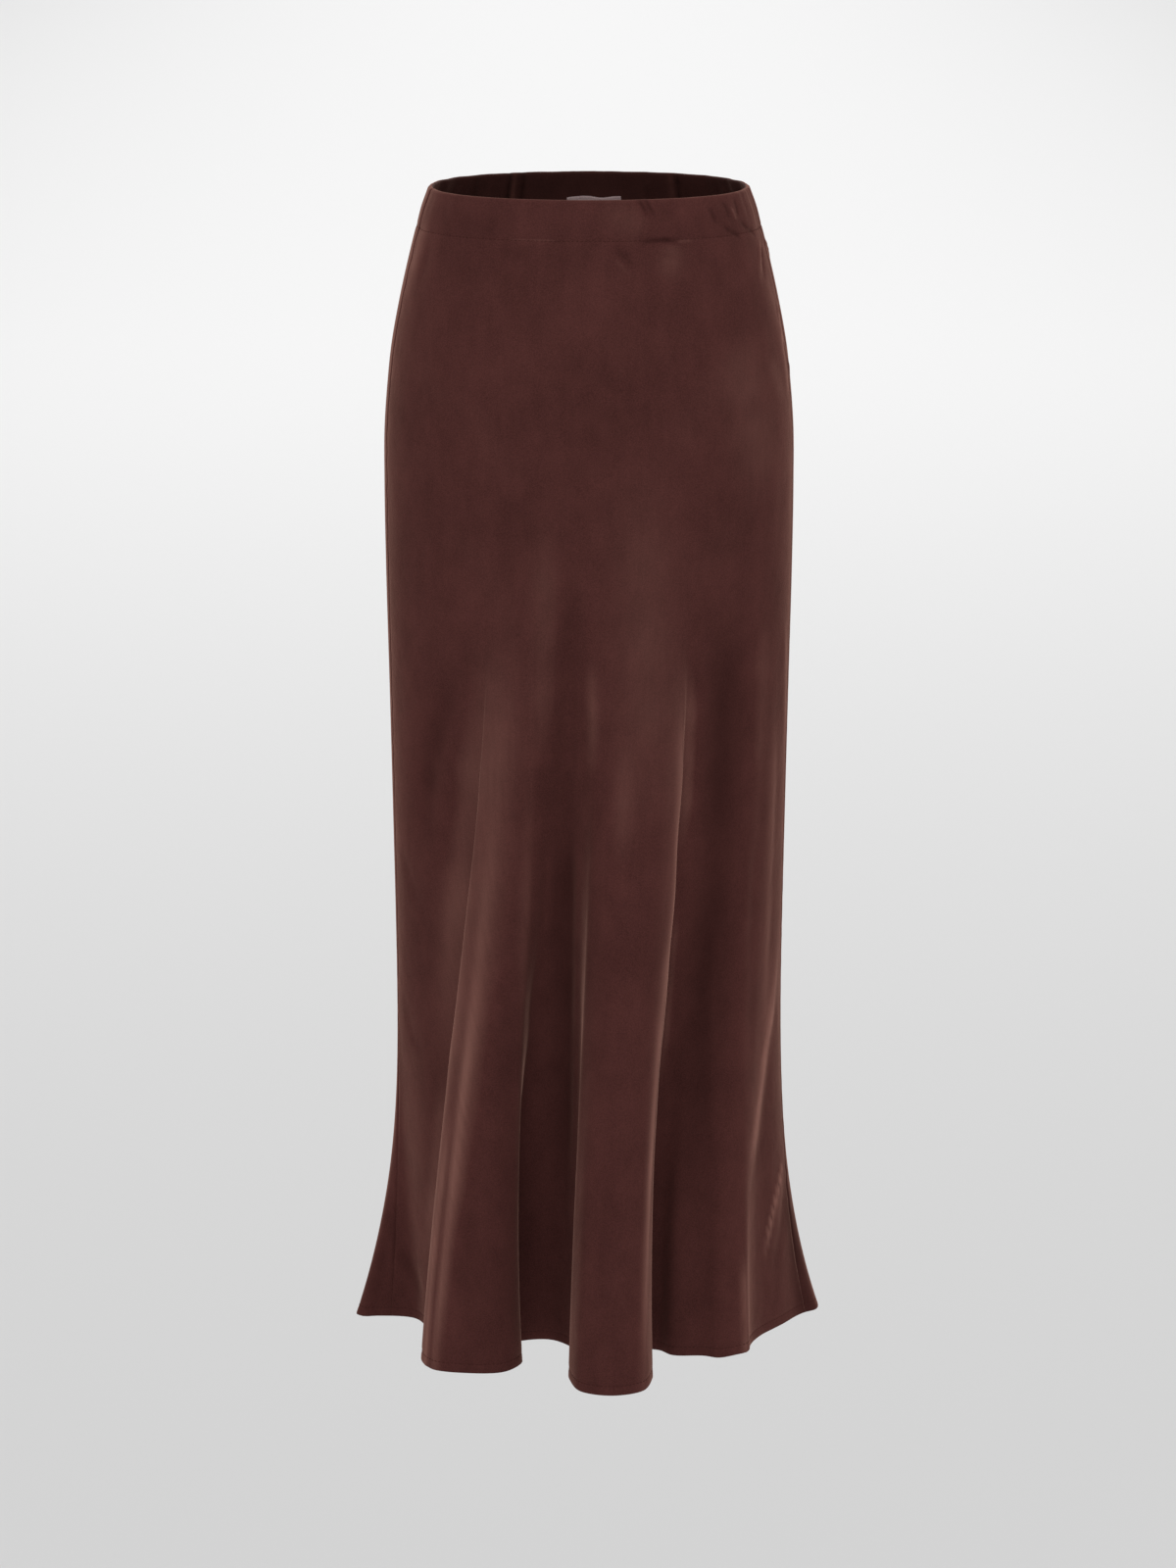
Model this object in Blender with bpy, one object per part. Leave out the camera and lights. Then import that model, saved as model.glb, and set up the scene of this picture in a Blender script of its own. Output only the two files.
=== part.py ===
"""A bias-cut slip skirt in satin, filled out as it hangs when worn, hollow and open at both ends.

Metres, +Z up. The origin is the middle of the waist opening, level with the top edge. The front
faces -Y and the wearer's right side is at -X. "drop" is the distance below the top edge.
A "bearing" is an angle round the body: 0 at -X, 90 at the front, 180 at +X, 270 at the back.
"""

import math

import bmesh
import bpy
import numpy as np

# Driving dimensions
LENGTH = 0.938            # top edge to hem
WALL = 0.002              # cloth wall
GAP = 0.0003              # between pieces at a seam or a lay
CASING_DEPTH = 0.033      # cloth turned in over the elastic
CASING_WALL = 0.002       # elastic and turned cloth together
LABEL_CENTRE = 0.004      # its x
LABEL_WIDTH = 0.044
LABEL_TOP = 0.0185        # drop of the label's sewn edge
LABEL_LENGTH = 0.026
LABEL_WALL = 0.001
SEAM_LEFT = 14.0          # bearings of the side seams at the hip
SEAM_RIGHT = 170.0

# Mesh density
FRONT_COLUMNS = 60
BACK_COLUMNS = 68
CASING_ROWS = 3
BODY_ROWS = 18
ROW_CROWDING = 0.055      # pulls the rows towards both ends of the skirt

# How the flutes form
OVAL_POWER = 2.2          # of the body: 2 is an ellipse, more is squarer
CAP_POWER = 2.3           # the same for a flute's rounded front
BELLY_PLACE = 0.64        # where a flute is widest, as a share of its reach
DRIFT_START = 0.22        # drop where the folds begin to run sideways
SOFT_SPREAD = 0.030       # share of the girth that a fold is softened over where it begins
SOFT_TAPS = 9
TANGENT_STEP = 0.0004     # share of the girth used to measure slopes

# The body under the cloth and the straight hang below it: half width, depth in front and behind
FIGURE_COLUMNS = ("drop", "half_width", "front", "back")
FIGURE = (
    (0.000, 0.1250, 0.0925, 0.0925),
    (0.031, 0.1349, 0.0985, 0.0990),
    (0.062, 0.1429, 0.1035, 0.1065),
    (0.093, 0.1498, 0.1075, 0.1140),
    (0.124, 0.1555, 0.1100, 0.1205),
    (0.155, 0.1590, 0.1112, 0.1250),
    (0.187, 0.1615, 0.1115, 0.1268),
    (0.234, 0.1622, 0.1105, 0.1250),
    (0.300, 0.1618, 0.1080, 0.1190),
    (0.394, 0.1602, 0.1040, 0.1120),
    (0.500, 0.1586, 0.1000, 0.1060),
    (0.620, 0.1571, 0.0960, 0.1010),
    (0.780, 0.1568, 0.0925, 0.0980),
    (0.938, 0.1568, 0.0900, 0.0960),
)

# One row for each flute of the hem, in order round the skirt.
# foot_x, foot_y: middle of its neck at the hem. points: bearing it points along. neck, belly:
# its widths. reach: neck to tip. dip: how far the hem falls in between it and the next flute.
# hip, spread: bearing it rises from and half the bearing it takes up. start: drop where it
# begins. growth: 1 opens evenly down to the hem, more opens late.
FLUTE_COLUMNS = ("name", "foot_x", "foot_y", "points", "neck", "belly", "reach", "dip",
                 "hip", "spread", "start", "growth")
FLUTES = (
    ("side_left", -0.150, 0.001, 14, 0.044, 0.018, 0.0455, 0.000, 8, 9, 0.64, 3.0),
    ("front_left", -0.091, -0.071, 84, 0.058, 0.082, 0.067, 0.015, 70.5, 13.5, 0.27, 1.4),
    ("front_mid", 0.0165, -0.0875, 91, 0.056, 0.067, 0.0965, 0.004, 106, 19, 0.24, 1.15),
    ("front_right", 0.105, -0.0765, 120, 0.090, 0.042, 0.027, 0.000, 148, 13, 0.30, 1.2),
    ("side_right", 0.155, 0.013, 185, 0.096, 0.044, 0.037, 0.002, 176, 12, 0.64, 3.1),
    ("back_right", 0.096, 0.090, 236, 0.060, 0.062, 0.066, 0.012, 221, 15, 0.40, 1.7),
    ("back_mid", 0.006, 0.100, 274, 0.066, 0.074, 0.056, 0.010, 266, 17, 0.34, 1.6),
    ("back_left", -0.090, 0.088, 304, 0.058, 0.066, 0.060, 0.002, 311, 16, 0.44, 1.7),
)

# How far through its flute each of its seven hem points rises from the body
FLUTE_SHARES = (0.0, 0.25, 0.375, 0.5, 0.625, 0.75, 1.0)

# Soft pinches that the elastic makes in the back of the waist
GATHER_COLUMNS = ("bearing", "half_width", "depth", "length")
GATHERS = (
    (204, 4.5, 0.0016, 0.050),
    (217, 4.0, 0.0013, 0.040),
    (229, 5.0, 0.0018, 0.065),
    (243, 4.0, 0.0012, 0.045),
    (256, 4.5, 0.0014, 0.055),
    (284, 4.5, 0.0014, 0.050),
    (296, 4.0, 0.0016, 0.040),
    (303, 3.5, 0.0018, 0.060),
    (318, 5.0, 0.0013, 0.050),
    (333, 4.5, 0.0015, 0.040),
)

SATIN = ("brown_satin", (70, 38, 36), 0.42)
CASING_CLOTH = ("brown_satin_inside", (52, 30, 28), 0.55)
LABEL_TAPE = ("label_tape", (122, 104, 103), 0.60)


def table(rows, columns):
    """The columns of a table as arrays, by name."""
    return {name: np.array([row[i] for row in rows]) for i, name in enumerate(columns)}


def smooth_curve(knots, values, x):
    """A smooth curve through values at rising knots, read at x (Hermite pieces)."""
    slopes = np.gradient(values, knots)
    i = np.clip(np.searchsorted(knots, x, side="right") - 1, 0, len(knots) - 2)
    width = knots[i + 1] - knots[i]
    t = np.clip((x - knots[i]) / width, 0.0, 1.0)
    rise = values[i + 1] - values[i]
    bend_in = slopes[i] * width - rise
    bend_out = rise - slopes[i + 1] * width
    return values[i] + t * rise + t * (1 - t) * ((1 - t) * bend_in + t * bend_out)


def ease(t):
    """0 to 1 with soft ends."""
    t = np.clip(t, 0.0, 1.0)
    return t * t * (3 - 2 * t)


def figure(bearing, drop):
    """The smooth body of the skirt, before its flutes, as x and y."""
    body = table(FIGURE, FIGURE_COLUMNS)
    half_width = smooth_curve(body["drop"], body["half_width"], drop)
    front = smooth_curve(body["drop"], body["front"], drop)
    back = smooth_curve(body["drop"], body["back"], drop)
    turn = np.radians(bearing)
    across, along = -np.cos(turn), -np.sin(turn)
    depth = back + (front - back) * ease(0.5 - along / 0.5)
    oval = (np.abs(across) ** OVAL_POWER + np.abs(along) ** OVAL_POWER) ** (-1 / OVAL_POWER)
    return half_width * oval * across, depth * oval * along


def hem_bearing(x, y):
    """The bearing of a point of the hem, on the figure's oval there."""
    half_width, front, back = FIGURE[-1][1:]
    depth = np.where(y < 0, front, back)
    return np.degrees(np.arctan2(-y / depth, -x / half_width))


def flute_points(flute):
    """A flute on the hem in walking order: neck, five points of its oval cap, neck."""
    turn = math.radians(flute["points"])
    out = np.array((-math.cos(turn), -math.sin(turn)))
    along = np.array((-out[1], out[0]))
    foot = np.array((flute["foot_x"], flute["foot_y"]))
    middle = foot + out * flute["reach"] * BELLY_PLACE
    half, cap = flute["belly"] / 2, flute["reach"] * (1 - BELLY_PLACE)
    points = [foot - along * flute["neck"] / 2]
    for degrees in (0, 45, 90, 135, 180):
        across, ahead = -math.cos(math.radians(degrees)), math.sin(math.radians(degrees))
        oval = (abs(across) ** CAP_POWER + ahead ** CAP_POWER) ** (-1 / CAP_POWER)
        points.append(middle + along * half * oval * across + out * cap * oval * ahead)
    points.append(foot + along * flute["neck"] / 2)
    return points


def hem_stations():
    """Once round the hem: points, bearings at hip and hem, starts and growths of the folds."""
    flutes = [dict(zip(FLUTE_COLUMNS, row)) for row in FLUTES]
    stations = []
    for flute, following in zip(flutes, flutes[1:] + flutes[:1]):
        points = flute_points(flute)
        first, last = hem_bearing(*points[0]), hem_bearing(*points[-1])
        turn = (last - first) % 360
        for point, share in zip(points, FLUTE_SHARES):
            hip = flute["hip"] + flute["spread"] * (2 * share - 1)
            stations.append((*point, hip, first + turn * share, flute["start"], flute["growth"]))
        entry = flute_points(following)[0]
        middle = (points[-1] + entry) / 2
        chord = entry - points[-1]
        inward = np.array((-chord[1], chord[0])) / np.hypot(*chord)
        valley = middle + inward * flute["dip"]
        next_hip = following["hip"] - following["spread"]
        hip = flute["hip"] + flute["spread"]
        hip += ((next_hip - hip) % 360) / 2
        bearing = last + ((hem_bearing(*entry) - last) % 360) / 2
        start = (flute["start"] + following["start"]) / 2
        growth = (flute["growth"] + following["growth"]) / 2
        stations.append((*valley, hip, bearing, start, growth))
    return np.array(stations)


def unwound(angles):
    """Angles in degrees without jumps of a full turn."""
    return np.degrees(np.unwrap(np.radians(angles)))


class Hem:
    """The hem's curve and its folds' places, read by girth: 0 to 1 once round the skirt."""

    def __init__(self):
        stations = hem_stations()
        chords = np.hypot(*(np.roll(stations, -1, axis=0) - stations)[:, :2].T)
        girth = np.concatenate(([0.0], np.cumsum(chords)))
        one_turn = girth[:-1] / girth[-1]
        turns = (-1, 0, 1)
        self.knots = np.concatenate([one_turn + turn for turn in turns])
        loop = np.tile(stations, (len(turns), 1))
        for column in (2, 3):
            angles = unwound(stations[:, column])
            loop[:, column] = np.concatenate([angles + 360 * turn for turn in turns])
        self.loop = loop

    def read(self, girth):
        """x, y, hip bearing, hem bearing, start and growth at each girth."""
        return [smooth_curve(self.knots, column, girth) for column in self.loop.T]


HEM = Hem()


def gathers(bearing, drop):
    """How far the elastic pulls the cloth in."""
    pull = np.zeros(np.broadcast(bearing, drop).shape)
    for row in GATHERS:
        gather = dict(zip(GATHER_COLUMNS, row))
        away = (bearing - gather["bearing"]) / gather["half_width"]
        pull = pull + gather["depth"] * np.exp(-away * away) * (1 - ease(drop / gather["length"]))
    return pull


def soft_taps():
    """Steps and weights of an average over a stretch of girth."""
    steps = np.linspace(-2.0, 2.0, SOFT_TAPS)
    weights = np.exp(-steps * steps / 2)
    return list(zip(steps, weights / weights.sum()))


def opening(girth, drop):
    """How far a fold is on its way to the hem, 0 to 1, and how late it opens."""
    start, growth = np.zeros_like(girth), np.zeros_like(girth)
    for step, weight in soft_taps():
        own = HEM.read(girth + step * SOFT_SPREAD)
        start += weight * own[4]
        growth += weight * own[5]
    return np.clip((drop - start) / (LENGTH - start), 0.0, 1.0), growth


def departure(girth, opened):
    """How far the hem stands off the figure, averaged over less girth as a fold opens."""
    x, y = np.zeros_like(girth), np.zeros_like(girth)
    for step, weight in soft_taps():
        hem_x, hem_y, _, foot, _, _ = HEM.read(girth + step * SOFT_SPREAD * (1 - opened) ** 2)
        straight_x, straight_y = figure(foot, np.full_like(foot, LENGTH))
        x += weight * (hem_x - straight_x)
        y += weight * (hem_y - straight_y)
    return x, y


def cloth(girth, drop):
    """The outer face of the skirt: an array of points for arrays of girth and drop."""
    _, _, hip, foot, _, _ = HEM.read(girth)
    drift = ease((drop - DRIFT_START) / (LENGTH - DRIFT_START))
    x, y = figure(hip + (foot - hip) * drift, drop)
    share, growth = opening(girth, drop)
    away_x, away_y = departure(girth, share)
    x = x + share ** growth * away_x
    y = y + share ** growth * away_y
    pull = gathers(hip % 360, drop)
    size = np.hypot(x, y)
    return np.stack((x * (1 - pull / size), y * (1 - pull / size), -drop), axis=-1)


def unit(vectors):
    return vectors / np.linalg.norm(vectors, axis=-1, keepdims=True)


def frame_at(girth, drop):
    """Points of the outer face, with their level outward and sideways directions."""
    point = cloth(girth, drop)
    along = unit(cloth(girth + TANGENT_STEP, drop) - cloth(girth - TANGENT_STEP, drop))
    outward = np.stack((along[..., 1], -along[..., 0], np.zeros(along.shape[:-1])), axis=-1)
    return point, outward, along


def girth_of_hip(bearing):
    """The girth whose fold rises from a bearing at the hip."""
    return float(np.interp(bearing, HEM.loop[:, 2], HEM.knots))


def column_girths(first, last, count):
    """Girths of a panel's columns, evenly spaced along the hem between two seams."""
    fine = np.linspace(first, last, 1200)
    x, y = HEM.read(fine)[:2]
    walked = np.concatenate(([0.0], np.cumsum(np.hypot(np.diff(x), np.diff(y)))))
    return np.interp(np.linspace(0.0, walked[-1], count + 1), walked, fine)


def panel_drops():
    """Drops of a panel's rows: the casing's own rows, then crowded towards the hem."""
    casing = np.linspace(0.0, CASING_DEPTH, CASING_ROWS + 1)
    share = np.linspace(0.0, 1.0, BODY_ROWS + 1)[1:]
    share = share - ROW_CROWDING * np.sin(2 * math.pi * share)
    return np.concatenate((casing, CASING_DEPTH + (LENGTH - CASING_DEPTH) * share))


def wall_points(girths, drops, outer, inner):
    """Outer and inner points of a stretch of wall, trimmed by half a gap at both sides."""
    girth, drop = np.meshgrid(girths, drops)
    point, normal, along = frame_at(girth, drop)
    trim = np.zeros(girth.shape)
    trim[:, 0] = GAP / 2
    trim[:, -1] = -GAP / 2
    point = point + along * trim[..., None]
    return point - normal * outer, point - normal * inner


def grid_face(mesh, points):
    """A grid of faces moved onto points, rows by columns; returns its vertices."""
    rows, columns = points.shape[:2]
    made = bmesh.ops.create_grid(mesh, x_segments=columns - 1, y_segments=rows - 1, size=0.5)
    for vertex in made["verts"]:
        column = round((vertex.co.x + 0.5) * (columns - 1))
        row = round((vertex.co.y + 0.5) * (rows - 1))
        vertex.co = points[row, column]
    return made["verts"]


def rim_edges(vertices):
    """The border edges of one grid."""
    own = set(vertices)
    edges = {edge for vertex in vertices for edge in vertex.link_edges}
    return [edge for edge in edges if len(edge.link_faces) == 1 and set(edge.verts) <= own]


def material(name, colour, roughness):
    """A plain finish from an sRGB colour in 0 to 255."""
    made = bpy.data.materials.new(name)
    made.use_nodes = True
    shader = made.node_tree.nodes["Principled BSDF"]
    linear = [((c / 255 + 0.055) / 1.055) ** 2.4 for c in colour]
    shader.inputs["Base Color"].default_value = (*linear, 1.0)
    shader.inputs["Roughness"].default_value = roughness
    shader.inputs["Metallic"].default_value = 0.0
    made.diffuse_color = (*linear, 1.0)
    return made


def wall(name, outer, inner, finish, collection):
    """One closed piece of cloth between an outer and an inner grid of points."""
    mesh = bmesh.new()
    outside = grid_face(mesh, outer)
    inside = grid_face(mesh, inner)
    bmesh.ops.bridge_loops(mesh, edges=rim_edges(outside) + rim_edges(inside))
    bmesh.ops.recalc_face_normals(mesh, faces=mesh.faces)
    data = bpy.data.meshes.new(name)
    mesh.to_mesh(data)
    mesh.free()
    data.shade_smooth()
    data.set_sharp_from_angle(angle=math.radians(50))
    piece = bpy.data.objects.new(name, data)
    piece.data.materials.append(finish)
    collection.objects.link(piece)
    return piece


def clear_scene():
    for item in list(bpy.data.objects):
        bpy.data.objects.remove(item, do_unlink=True)


def build_panels(collection, columns):
    """Front and back, each from the top edge to the hem."""
    satin = material(*SATIN)
    for name, girths in columns.items():
        outer, inner = wall_points(girths, panel_drops(), 0.0, WALL)
        wall(name, outer, inner, satin, collection)


def build_casings(collection, columns):
    """The turned-in top, just inside each panel."""
    cloth_inside = material(*CASING_CLOTH)
    drops = panel_drops()[:CASING_ROWS + 1]
    lay = WALL + GAP
    for name, girths in columns.items():
        outer, inner = wall_points(girths, drops, lay, lay + CASING_WALL)
        wall("waist_casing_" + name.split("_")[0], outer, inner, cloth_inside, collection)


def build_label(collection, girths):
    """A blank tape label inside the centre of the back."""
    tape = material(*LABEL_TAPE)
    x = cloth(girths, np.full_like(girths, LABEL_TOP))[:, 0]
    middle = int(np.argmin(np.abs(x - LABEL_CENTRE)))
    half = round(LABEL_WIDTH / 2 / abs(x[middle + 1] - x[middle]))
    own = girths[middle - half:middle + half + 1]
    drops = np.linspace(LABEL_TOP, LABEL_TOP + LABEL_LENGTH, CASING_ROWS + 1)
    lay = WALL + GAP + CASING_WALL + GAP
    outer, inner = wall_points(own, drops, lay, lay + LABEL_WALL)
    wall("waist_label", outer, inner, tape, collection)


def build():
    clear_scene()
    collection = bpy.data.collections.new("slip_skirt")
    bpy.context.scene.collection.children.link(collection)
    left = girth_of_hip(SEAM_LEFT)
    right = girth_of_hip(SEAM_RIGHT)
    columns = {
        "front_panel": column_girths(left, right, FRONT_COLUMNS),
        "back_panel": column_girths(right, left + 1.0, BACK_COLUMNS),
    }
    build_panels(collection, columns)
    build_casings(collection, columns)
    build_label(collection, columns["back_panel"])


build()
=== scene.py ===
"""A bias-cut slip skirt in sand-washed satin, filled out as it hangs when worn.

Metres, +Z up. The origin is the middle of the waist opening, level with the top edge. The front
faces -Y and the wearer's right side is at -X. "drop" is the distance below the top edge.
A "bearing" is an angle round the body: 0 at -X, 90 at the front, 180 at +X, 270 at the back.
"girth" runs from 0 to 1 once round the skirt, in shares of the hem, from the wearer's right side.
"""
import math
import random

import bpy
import numpy as np
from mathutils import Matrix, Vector


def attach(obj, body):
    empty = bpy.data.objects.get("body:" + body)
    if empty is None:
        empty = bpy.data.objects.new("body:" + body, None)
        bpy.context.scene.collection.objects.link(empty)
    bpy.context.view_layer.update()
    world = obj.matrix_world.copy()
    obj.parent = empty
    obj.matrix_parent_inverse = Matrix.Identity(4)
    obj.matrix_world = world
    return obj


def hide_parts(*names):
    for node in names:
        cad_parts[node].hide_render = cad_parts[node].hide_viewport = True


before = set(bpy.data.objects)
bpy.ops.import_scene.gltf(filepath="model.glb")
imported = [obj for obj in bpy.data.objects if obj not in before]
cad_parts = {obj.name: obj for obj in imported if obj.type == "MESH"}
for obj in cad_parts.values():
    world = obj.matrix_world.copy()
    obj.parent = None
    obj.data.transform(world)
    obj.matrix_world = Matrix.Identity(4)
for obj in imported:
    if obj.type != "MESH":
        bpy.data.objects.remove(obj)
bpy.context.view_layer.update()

# The garment's own sizes, as in its solids
LENGTH = 0.938  # top edge to hem
CASING_DEPTH = 0.033  # cloth turned in over the elastic
LABEL_CENTRE = 0.004  # its x
LABEL_WIDTH = 0.0444
LABEL_TOP = 0.0185  # drop of the label's sewn edge
LABEL_LENGTH = 0.026
LABEL_LAY = 0.0047  # the label's outer side, in from the skirt's outer face
LABEL_SAG = 0.0023  # how far its top edge has slipped down, with a wave in it
LABEL_WAVE = 0.0007
SEAM_LEFT = 14.0  # bearings of the side seams at the hip
SEAM_RIGHT = 170.0

# Finer sizes that only show close up
CLOTH = 0.0005  # thickness of the satin as modelled
TAPE = 0.0004  # thickness of the label
ROLL = 0.0021  # half the thickness of the stuffed waist edge
ROLL_SPLIT = 112.0  # degrees over the edge where the casing's seam lies
SPLIT_GAP = 3.0  # degrees of that seam's gap
CASING_LAY = 2 * ROLL  # the casing's inner face, in from the outer face
HEM_ROLL = 0.0008  # half the thickness of the folded hem
HEM_DEPTH = 0.009  # width of the hem's turning
SEAM_DEPTH = 0.0007  # how far a panel's edge dips into its seam
SEAM_WIDTH = 0.0020
SEAM_FADE = 0.06  # length over which the dip dies out above the hem
SEAM_GAP = 0.00002  # between two panels' edges, as a share of the girth
WAIST_SHARE = 0.8  # how much the waist counts in how close the columns stand
FINE_DROP = 0.062  # rows stand closest down to here, and close down to the hip
HIP_DROP = 0.175
HEM_ROWS_ABOVE = 0.006  # how far above the hem's turning they stand close again
PANEL_ROWS = {"crest": 9, "fine": 44, "hip": 36, "body": 96, "hem": 9, "fold": 8, "turning": 4}
CASING_ROWS = {"crest": 6, "face": 14, "fold": 6}
PANEL_COLUMNS = {"front": 232, "back": 244}
LABEL_GRID = (41, 19)
EDGE_COLUMNS = (0.0, 0.0007, 0.0016, 0.0030, 0.0050)  # closer columns beside a seam
EDGE_WIDTH = 0.0076
CASING_FOLD = 0.0005  # half the thickness of the casing's folded lower edge

# How the flutes form
OVAL_POWER = 2.2  # of the body: 2 is an ellipse, more is squarer
CAP_POWER = 2.3  # the same for a flute's rounded front
BELLY_PLACE = 0.64  # where a flute is widest, as a share of its reach
DRIFT_START = 0.22  # drop where the folds begin to run sideways
SOFT_SPREAD = 0.030  # share of the girth that a fold is softened over where it begins
SOFT_TAPS = 9
TANGENT_STEP = 0.0004  # share of the girth used to measure slopes

# The body under the cloth and the straight hang below it.
# Columns: drop, half width, depth in front, depth behind
FIGURE = (
    (0.000, 0.1250, 0.0925, 0.0925),
    (0.031, 0.1349, 0.0985, 0.0990),
    (0.062, 0.1429, 0.1035, 0.1065),
    (0.093, 0.1498, 0.1075, 0.1140),
    (0.124, 0.1555, 0.1100, 0.1205),
    (0.155, 0.1590, 0.1112, 0.1250),
    (0.187, 0.1615, 0.1115, 0.1268),
    (0.234, 0.1622, 0.1105, 0.1250),
    (0.300, 0.1618, 0.1080, 0.1190),
    (0.394, 0.1602, 0.1040, 0.1120),
    (0.500, 0.1586, 0.1000, 0.1060),
    (0.620, 0.1571, 0.0960, 0.1010),
    (0.780, 0.1568, 0.0925, 0.0980),
    (0.938, 0.1568, 0.0900, 0.0960),
)

# One row for each flute of the hem, in order round the skirt.
# foot_x, foot_y: middle of its neck at the hem. points: bearing it points along. neck, belly:
# its widths. reach: neck to tip. dip: how far the hem falls in between it and the next flute.
# hip, spread: bearing it rises from and half the bearing it takes up. start: drop where it
# begins. growth: 1 opens evenly down to the hem, more opens late.
FLUTE_COLUMNS = ("name", "foot_x", "foot_y", "points", "neck", "belly", "reach", "dip",
                 "hip", "spread", "start", "growth")
FLUTES = (
    ("side_left", -0.150, 0.001, 14, 0.044, 0.018, 0.0455, 0.000, 8, 9, 0.64, 3.0),
    ("front_left", -0.091, -0.071, 84, 0.058, 0.082, 0.067, 0.015, 70.5, 13.5, 0.27, 1.4),
    ("front_mid", 0.0165, -0.0875, 91, 0.056, 0.067, 0.0965, 0.004, 106, 19, 0.24, 1.15),
    ("front_right", 0.105, -0.0765, 120, 0.090, 0.042, 0.027, 0.000, 148, 13, 0.30, 1.2),
    ("side_right", 0.155, 0.013, 185, 0.096, 0.044, 0.037, 0.002, 176, 12, 0.64, 3.1),
    ("back_right", 0.096, 0.090, 236, 0.060, 0.062, 0.066, 0.012, 221, 15, 0.40, 1.7),
    ("back_mid", 0.006, 0.100, 274, 0.066, 0.074, 0.056, 0.010, 266, 17, 0.34, 1.6),
    ("back_left", -0.090, 0.088, 304, 0.058, 0.066, 0.060, 0.002, 311, 16, 0.44, 1.7),
)

# How far through its flute each of its seven hem points rises from the body
FLUTE_SHARES = (0.0, 0.25, 0.375, 0.5, 0.625, 0.75, 1.0)

# Soft pinches that the elastic makes in the back of the waist
GATHER_COLUMNS = ("bearing", "half_width", "depth", "length")
GATHERS = (
    (204, 4.5, 0.0016, 0.050),
    (217, 4.0, 0.0013, 0.040),
    (229, 5.0, 0.0018, 0.065),
    (243, 4.0, 0.0012, 0.045),
    (256, 4.5, 0.0014, 0.055),
    (284, 4.5, 0.0014, 0.050),
    (296, 4.0, 0.0016, 0.040),
    (303, 3.5, 0.0018, 0.060),
    (318, 5.0, 0.0013, 0.050),
    (333, 4.5, 0.0015, 0.040),
)

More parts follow.
